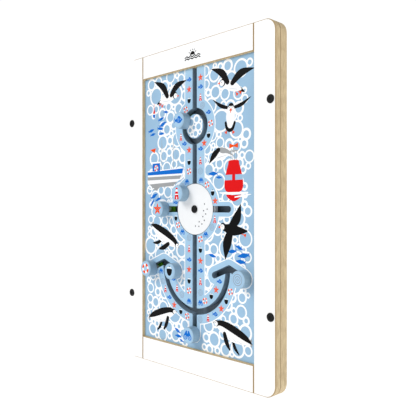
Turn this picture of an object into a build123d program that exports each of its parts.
from build123d import *
import math
import os

# Wall play panel: a plywood frame round a recessed panel whose slots draw an anchor. Round knobs slide
# in the slots, and a notched wheel at the crossing passes a knob from one slot to another.
#
# Millimetres. X runs to the right and Z up, as seen from the front, and the front faces -Y. The origin is
# the middle of the back face, which lies against the wall. A "level" is a distance out from the wall, and
# (u, v) is a point across the panel: u to the right and v up.

# Frame
half_width = 267.5
half_height = 425.0
corner_radius = 30.0
back_layer = 24.0
front_layer = 18.0
front_level = back_layer + front_layer
opening_u = 203.5
opening_v = 360.0
front_bevel = 2.2
seam_bevel = 1.0
back_bevel = 1.5

# Layers inside the frame, from the wall outwards
cover_thickness = 6.0
cavity_depth = 10.0
panel_thickness = 18.0
panel_back = cover_thickness + cavity_depth
panel_front = panel_back + panel_thickness
flange_thickness = back_layer - panel_back
board_gap = 0.3
flange_overlap = 9.5
ledge_overlap = 6.5
cover_overlap = 5.5
flange_u = opening_u + flange_overlap
flange_v = opening_v + flange_overlap
ledge_u = opening_u - ledge_overlap
ledge_v = opening_v - ledge_overlap
cover_u = opening_u + cover_overlap
cover_v = opening_v + cover_overlap

# Slots, as centre lines: a shank with a ring at its top, a crossbar, an arc and a chevron at each arc tip
slot_width = 16.0
ring_v = 209.5
ring_radius = 39.0
island_radius = 31.0
island_post_radius = 16.0
shank_bottom_v = -323.0
crossbar_u = 118.5
arc_v = -148.5
arc_radius = 116.0
apex_u = 120.0
apex_v = -145.5
leg_run = 50.0
leg_slope = math.radians(22.5)
leg_drop = leg_run * math.tan(leg_slope)

# Wheel
wheel_v = -3.0
wheel_radius = 65.5
wheel_opening_radius = 66.5
wheel_bevel = 0.8
notch_radius = 58.0
notch_angle = 135.0
bush_radius = 9.0
axle_radius = 6.0
axle_clearance = 0.05
axle_head_radius = 10.0
axle_head_gap = 0.3
axle_head_height = 3.4
axle_head_fillet = 2.0
spacer_radius = 20.0
spacer_gap = 0.3
dimple_radius = 2.0
dimple_depth = 1.6
dimples = [(38, 20), (45, 0), (32.6, -6.5), (41.6, -17), (35.3, -32),
           (44.8, -39), (36, -63), (45.8, -55), (43.4, -86), (46.4, -70.5)]

# Sliders: a knob in front, a bush in the slot, and behind the panel a base disc with a spigot
knob_radius = 21.0
knob_height = 25.0
knob_gap = 0.5
knob_front_fillet = 3.0
knob_back_fillet = 1.0
label_radius = 17.5
label_depth = 0.3
base_radius = 21.0
base_thickness = 5.0
base_gap = 0.3
base_bevel = 0.8
slide_bush_radius = 7.5
slide_bush_gap = 0.3
spigot_radius = 4.5
spigot_clearance = 0.05
socket_depth = 8.5
fish_angle = 155.0
slider_screw_length = 36.0

# Fasteners
wall_hole_radius = 3.5
wall_hole_u = 253.0
wall_hole_v = 243.0
counterbore_radius = 9.0
counterbore_depth = 6.0
cap_radius = 10.2
cap_height = 2.3
cap_fillet = 1.6
cap_dimple_radius = 3.2
cap_dimple_depth = 1.2
cap_spigot_length = 5.0
shank_clearance = 0.2
pilot_clearance = 0.05
tip_length = 3.0
recess_width = 0.8
recess_depth = 1.2
frame_screw = dict(head_radius=4.5, shank_radius=2.2, length=36.0)
cover_screw = dict(head_radius=3.4, shank_radius=1.6, length=15.0)
axle_screw = dict(head_radius=5.0, shank_radius=2.5, length=26.0)
slider_screw = dict(head_radius=3.2, shank_radius=1.5, length=slider_screw_length)
dowel_radius = 4.0
dowel_length = 30.0
dowel_bevel = 0.8
dowel_spacing = 30.0
dowel_glue_gap = 0.05
dowel_end_gap = 1.0

rail_v = (opening_v + half_height) / 2
stile_u = (opening_u + half_width) / 2
cover_screw_u = (ledge_u + cover_u) / 2
cover_screw_v = (ledge_v + cover_v) / 2
frame_screw_stile_v = (-390.0, -140.0, 0.0, 140.0, 390.0)
frame_screw_rail_u = (-130.0, 0.0, 130.0)
cover_screw_side_v = (-340.0, -204.0, -68.0, 68.0, 204.0, 340.0)
cover_screw_end_u = (-120.0, 0.0, 120.0)


def on_circle(centre_v, radius, degrees):
    """The point of a circle centred on u = 0."""
    angle = math.radians(degrees)
    return (radius * math.cos(angle), centre_v + radius * math.sin(angle))


# Where each slider stands at rest
slider_places = {
    "fish": on_circle(ring_v, ring_radius, fish_angle),
    "lighthouse": on_circle(wheel_v, notch_radius, notch_angle),
    "star": (-crossbar_u, wheel_v),
    "life_ring": (-apex_u - leg_run, apex_v - leg_drop),
    "pot": (-apex_u + leg_run, apex_v - leg_drop),
    "rope_coil": (apex_u + leg_run, apex_v - leg_drop),
    "binoculars": (0.0, shank_bottom_v),
}

stile_screw_points = [(side * stile_u, v) for side in (-1, 1) for v in frame_screw_stile_v]
rail_screw_points = [(u, side * rail_v) for side in (-1, 1) for u in frame_screw_rail_u]
cover_screw_points = [(side * cover_screw_u, v) for side in (-1, 1) for v in cover_screw_side_v]
cover_screw_points += [(u, side * cover_screw_v) for side in (-1, 1) for u in cover_screw_end_u]
wall_hole_points = [(side * wall_hole_u, end * wall_hole_v) for side in (-1, 1) for end in (-1, 1)]
dowel_points = [
    (side * joint_u, level, end * rail_v + offset)
    for joint_u, level in ((opening_u, back_layer + front_layer / 2), (ledge_u, back_layer / 2))
    for side in (-1, 1)
    for end in (-1, 1)
    for offset in (-dowel_spacing / 2, dowel_spacing / 2)
]


def front_plane(u, v, level):
    """A plane facing the room; drilled holes run from it towards the wall."""
    return Plane(origin=(u, -level, v), x_dir=(1, 0, 0), z_dir=(0, -1, 0))


def rear_plane(u, v, level):
    """A plane facing the wall; drilled holes run from it towards the room."""
    return Plane(origin=(u, -level, v), x_dir=(1, 0, 0), z_dir=(0, 1, 0))


def turn(u, v, profile):
    """Adds a turned shape on the axis through (u, v). The profile lists (radius, level) points."""
    with BuildSketch(Plane(origin=(u, 0, v), x_dir=(1, 0, 0), z_dir=(0, 0, -1))) as section:
        with BuildLine():
            Polyline(*profile, close=True)
        make_face()
    revolve(section.sketch, axis=Axis((u, 0, v), (0, -1, 0)))


def add_screw(u, v, level, head_radius, shank_radius, length):
    """Adds a countersunk screw driven from behind, its head flush at the level."""
    head_depth = head_radius - shank_radius
    turn(u, v, [
        (0, level),
        (head_radius, level),
        (shank_radius, level + head_depth),
        (shank_radius, level + length - tip_length),
        (0, level + length),
    ])
    with BuildSketch(rear_plane(u, v, level)) as recess:
        Rectangle(head_radius, recess_width)
        Rectangle(recess_width, head_radius)
    extrude(recess.sketch, amount=-recess_depth, mode=Mode.SUBTRACT)


def drill_for_screws(points, level, head_radius, shank_radius, length):
    """Countersunk clearance holes from behind, right through the board being built."""
    with Locations(*[rear_plane(u, v, level) for u, v in points]):
        CounterSinkHole(
            shank_radius + shank_clearance,
            head_radius + shank_clearance,
            depth=length,
            counter_sink_angle=90,
        )


def drill_pilots(points, level, shank_radius, depth):
    """Blind holes from behind that the screws' ends bite in."""
    with Locations(*[rear_plane(u, v, level) for u, v in points]):
        Hole(shank_radius + pilot_clearance, depth=depth)


def drill_dowel_holes(layer_level, layer_thickness):
    """Dowel holes along X through whichever stile or rail is being built."""
    for u, level, v in dowel_points:
        if layer_level < level < layer_level + layer_thickness:
            with Locations((u, -level, v)):
                Cylinder(
                    dowel_radius + dowel_glue_gap,
                    dowel_length + 2 * dowel_end_gap,
                    rotation=(0, 90, 0),
                    mode=Mode.SUBTRACT,
                )


def board_blank(level, thickness, centre, size):
    """The part of the rounded frame outline inside one rectangle, as a flat board."""
    with BuildSketch(Plane.XZ.offset(level)) as outline:
        RectangleRounded(2 * half_width, 2 * half_height, corner_radius)
        with Locations(centre):
            Rectangle(*size, mode=Mode.INTERSECT)
    extrude(outline.sketch, amount=thickness)


def stile_place(side, inner_u):
    """Centre and size of an upright; side is -1 on the left and 1 on the right."""
    return (side * (half_width + inner_u) / 2, 0), (half_width - inner_u, 2 * half_height)


def rail_place(side, inner_u, inner_v):
    """Centre and size of a crosspiece between the uprights; side is -1 at the bottom and 1 at the top."""
    return (0, side * (half_height + inner_v) / 2), (2 * inner_u, half_height - inner_v)


def front_board(centre, size, screw_points):
    """One board of the front frame, with its bevels, screw pilots and dowel holes."""
    with BuildPart() as board:
        board_blank(back_layer, front_layer, centre, size)
        chamfer(board.faces().sort_by(Axis.Y)[0].edges(), front_bevel)
        chamfer(board.faces().sort_by(Axis.Y)[-1].edges(), seam_bevel)
        pilot_depth = frame_screw["length"] - back_layer + tip_length / 2
        drill_pilots(screw_points, back_layer, frame_screw["shank_radius"], pilot_depth)
        drill_dowel_holes(back_layer, front_layer)
    return board


def back_board(centre, size, screw_points):
    """One board of the back frame, rebated for the panel's flange and for the rear cover."""
    with BuildPart() as board:
        board_blank(0, back_layer, centre, size)
        chamfer(board.faces().sort_by(Axis.Y)[0].edges(), seam_bevel)
        chamfer(board.faces().sort_by(Axis.Y)[-1].edges(), back_bevel)
        with BuildSketch(Plane.XZ.offset(panel_back)):
            Rectangle(2 * (flange_u + board_gap), 2 * (flange_v + board_gap))
        extrude(amount=flange_thickness, mode=Mode.SUBTRACT)
        with BuildSketch(Plane.XZ):
            Rectangle(2 * (cover_u + board_gap), 2 * (cover_v + board_gap))
        extrude(amount=cover_thickness, mode=Mode.SUBTRACT)
        drill_for_screws(screw_points, 0, **frame_screw)
        ledge_pilot = cover_screw["length"] - cover_thickness + pilot_clearance
        drill_pilots(cover_screw_points, cover_thickness, cover_screw["shank_radius"], ledge_pilot)
        drill_dowel_holes(0, back_layer)
    return board


def save(builder, name):
    """Labels a finished piece and writes it under its node name."""
    builder.part.label = name
    export_step(builder.part, f"parts/{name}.step")


os.makedirs("parts", exist_ok=True)

# Stiles: full height, drilled through for the wall screws
for side, side_name in ((-1, "left"), (1, "right")):
    stile_screws = [point for point in stile_screw_points if point[0] * side > 0]
    own_wall_holes = [point for point in wall_hole_points if point[0] * side > 0]

    with BuildPart() as front_stile:
        add(front_board(*stile_place(side, opening_u), stile_screws).part)
        with Locations(*[front_plane(u, v, front_level) for u, v in own_wall_holes]):
            CounterBoreHole(wall_hole_radius, counterbore_radius, counterbore_depth, depth=front_layer)
    save(front_stile, f"front_{side_name}_stile")

    with BuildPart() as back_stile:
        add(back_board(*stile_place(side, ledge_u), stile_screws).part)
        with Locations(*[front_plane(u, v, back_layer) for u, v in own_wall_holes]):
            Hole(wall_hole_radius, depth=back_layer)
    save(back_stile, f"back_{side_name}_stile")

# Rails: between the stiles
for side, end_name in ((-1, "bottom"), (1, "top")):
    rail_screws = [point for point in rail_screw_points if point[1] * side > 0]
    save(front_board(*rail_place(side, opening_u, opening_v), rail_screws), f"front_{end_name}_rail")
    save(back_board(*rail_place(side, ledge_u, ledge_v), rail_screws), f"back_{end_name}_rail")

# Play panel: its flange is trapped between the two frames, and the anchor is cut right through it.
# The shank runs out at the top edge under the top rail, where the sliders are fed in.
with BuildPart() as play_panel:
    with BuildSketch(Plane.XZ.offset(panel_back)):
        Rectangle(2 * flange_u, 2 * flange_v)
    extrude(amount=flange_thickness - board_gap)
    with BuildSketch(Plane.XZ.offset(panel_back)):
        Rectangle(2 * (opening_u - board_gap), 2 * (opening_v - board_gap))
    extrude(amount=panel_thickness)
    with BuildSketch(Plane.XZ.offset(panel_back)):
        shank_top_v = flange_v + slot_width
        with Locations((0, (shank_top_v + shank_bottom_v) / 2)):
            SlotCenterToCenter(shank_top_v - shank_bottom_v, slot_width, rotation=90)
        with Locations((0, wheel_v)):
            SlotCenterToCenter(2 * crossbar_u, slot_width)
            Circle(wheel_opening_radius)
        with Locations((0, ring_v)):
            Circle(ring_radius + slot_width / 2)
        with BuildLine() as arc_line:
            CenterArc((0, arc_v), arc_radius, 180, 180)
        SlotArc(arc_line.edge(), slot_width)
        for side in (-1, 1):
            for direction in (-1, 1):
                leg_middle = (side * apex_u + direction * leg_run / 2, apex_v - leg_drop / 2)
                with Locations(leg_middle):
                    SlotCenterToCenter(
                        leg_run / math.cos(leg_slope),
                        slot_width,
                        rotation=-direction * math.degrees(leg_slope),
                    )
    extrude(amount=panel_thickness, mode=Mode.SUBTRACT)
save(play_panel, "play_panel")

# Rear cover, let in flush with the back face
with BuildPart() as rear_cover:
    with BuildSketch(Plane.XZ):
        Rectangle(2 * cover_u, 2 * cover_v)
    extrude(amount=cover_thickness)
    drill_for_screws(cover_screw_points, 0, **cover_screw)
    drill_for_screws([(0, ring_v)], 0, **cover_screw)
    drill_for_screws([(0, wheel_v)], 0, **axle_screw)
save(rear_cover, "rear_cover")

# Ring island: the round middle of the ring slot, on a post that the fish's base disc passes round
with BuildPart() as ring_island:
    turn(0, ring_v, [
        (0, cover_thickness),
        (island_post_radius, cover_thickness),
        (island_post_radius, panel_back),
        (island_radius, panel_back),
        (island_radius, panel_front),
        (0, panel_front),
    ])
    drill_pilots([(0, ring_v)], cover_thickness, cover_screw["shank_radius"], cover_screw["length"])
save(ring_island, "ring_island")

with BuildPart() as island_screw:
    add_screw(0, ring_v, 0, **cover_screw)
save(island_screw, "island_screw")

# Wheel: a disc with a notch for the lighthouse slider and two zigzag rows of dimples
with BuildPart() as wheel_disc:
    with BuildSketch(Plane.XZ.offset(panel_back)):
        with Locations((0, wheel_v)):
            Circle(wheel_radius)
            Circle(bush_radius, mode=Mode.SUBTRACT)
        notch_middle = on_circle(wheel_v, notch_radius + slot_width, notch_angle)
        with Locations(notch_middle):
            SlotCenterToCenter(2 * slot_width, slot_width, rotation=notch_angle, mode=Mode.SUBTRACT)
    extrude(amount=panel_thickness)
    chamfer(wheel_disc.faces().sort_by(Axis.Y)[0].outer_wire().edges(), wheel_bevel)
    with Locations(*[front_plane(*on_circle(wheel_v, r, a), panel_front) for r, a in dimples]):
        Hole(dimple_radius, depth=dimple_depth)
save(wheel_disc, "wheel_disc")

with BuildPart() as wheel_bush:
    turn(0, wheel_v, [
        (axle_radius + axle_clearance, panel_back),
        (bush_radius, panel_back),
        (bush_radius, panel_front),
        (axle_radius + axle_clearance, panel_front),
    ])
save(wheel_bush, "wheel_bush")

# Axle: a sleeve nut whose domed head holds the wheel, pulled down on the cover by a screw from behind
axle_head_back = panel_front + axle_head_gap
axle_head_front = axle_head_back + axle_head_height
with BuildPart() as wheel_axle:
    turn(0, wheel_v, [
        (0, cover_thickness),
        (axle_radius, cover_thickness),
        (axle_radius, axle_head_back),
        (axle_head_radius, axle_head_back),
        (axle_head_radius, axle_head_front),
        (0, axle_head_front),
    ])
    fillet(wheel_axle.faces().sort_by(Axis.Y)[0].edges(), axle_head_fillet)
    drill_pilots([(0, wheel_v)], cover_thickness, axle_screw["shank_radius"], axle_screw["length"])
save(wheel_axle, "wheel_axle")

with BuildPart() as wheel_axle_screw:
    add_screw(0, wheel_v, 0, **axle_screw)
save(wheel_axle_screw, "wheel_axle_screw")

with BuildPart() as wheel_spacer:
    spacer_bore = axle_radius + board_gap
    turn(0, wheel_v, [
        (spacer_bore, cover_thickness),
        (spacer_radius, cover_thickness),
        (spacer_radius, panel_back - spacer_gap),
        (spacer_bore, panel_back - spacer_gap),
    ])
save(wheel_spacer, "wheel_spacer")

# Caps that close the counterbores of the wall screws
with BuildPart() as wall_screw_caps:
    cap_spigot_radius = counterbore_radius - shank_clearance
    cap_front = front_level + cap_height
    for u, v in wall_hole_points:
        turn(u, v, [
            (0, front_level - cap_spigot_length),
            (cap_spigot_radius, front_level - cap_spigot_length),
            (cap_spigot_radius, front_level),
            (cap_radius, front_level),
            (cap_radius, cap_front),
            (0, cap_front),
        ])
    fillet(wall_screw_caps.faces().group_by(Axis.Y)[0].edges(), cap_fillet)
    with Locations(*[front_plane(u, v, cap_front) for u, v in wall_hole_points]):
        Hole(cap_dimple_radius, depth=cap_dimple_depth)
save(wall_screw_caps, "wall_screw_caps")

with BuildPart() as frame_screws:
    for u, v in stile_screw_points + rail_screw_points:
        add_screw(u, v, 0, **frame_screw)
save(frame_screws, "frame_screws")

with BuildPart() as cover_screws:
    for u, v in cover_screw_points:
        add_screw(u, v, 0, **cover_screw)
save(cover_screws, "cover_screws")

with BuildPart() as corner_dowels:
    for u, level, v in dowel_points:
        with Locations((u, -level, v)):
            Cylinder(dowel_radius, dowel_length, rotation=(0, 90, 0))
    chamfer(corner_dowels.edges().filter_by(GeomType.CIRCLE), dowel_bevel)
save(corner_dowels, "corner_dowels")

# Sliders. The bush slides in the slot, and the knob, base and screw turn in the bush as one. Each knob's
# front face is let in for a round picture label.
base_front = panel_back - base_gap
base_back = base_front - base_thickness
knob_back = panel_front + knob_gap
knob_front = knob_back + knob_height
bush_back = base_front + slide_bush_gap
bush_front = knob_back - slide_bush_gap
bush_bore = spigot_radius + spigot_clearance

for slider_name, (u, v) in slider_places.items():
    with BuildPart() as knob:
        turn(u, v, [(0, knob_back), (knob_radius, knob_back), (knob_radius, knob_front), (0, knob_front)])
        fillet(knob.faces().sort_by(Axis.Y)[0].edges(), knob_front_fillet)
        fillet(knob.faces().sort_by(Axis.Y)[-1].edges(), knob_back_fillet)
        with Locations(front_plane(u, v, knob_front)):
            Hole(label_radius, depth=label_depth)
        with Locations(rear_plane(u, v, knob_back)):
            Hole(spigot_radius + spigot_clearance, depth=socket_depth)
        with Locations(rear_plane(u, v, knob_back + socket_depth)):
            Hole(slider_screw["shank_radius"] + pilot_clearance, depth=socket_depth)
    save(knob, f"{slider_name}_knob")

    with BuildPart() as slide_bush:
        turn(u, v, [
            (bush_bore, bush_back),
            (slide_bush_radius, bush_back),
            (slide_bush_radius, bush_front),
            (bush_bore, bush_front),
        ])
    save(slide_bush, f"{slider_name}_bush")

    with BuildPart() as base:
        spigot_front = knob_back + socket_depth - slide_bush_gap
        turn(u, v, [
            (0, base_back),
            (base_radius - base_bevel, base_back),
            (base_radius, base_back + base_bevel),
            (base_radius, base_front - base_bevel),
            (base_radius - base_bevel, base_front),
            (spigot_radius, base_front),
            (spigot_radius, spigot_front),
            (0, spigot_front),
        ])
        drill_for_screws([(u, v)], base_back, **slider_screw)
    save(base, f"{slider_name}_base")

    with BuildPart() as screw:
        add_screw(u, v, base_back, **slider_screw)
    save(screw, f"{slider_name}_screw")
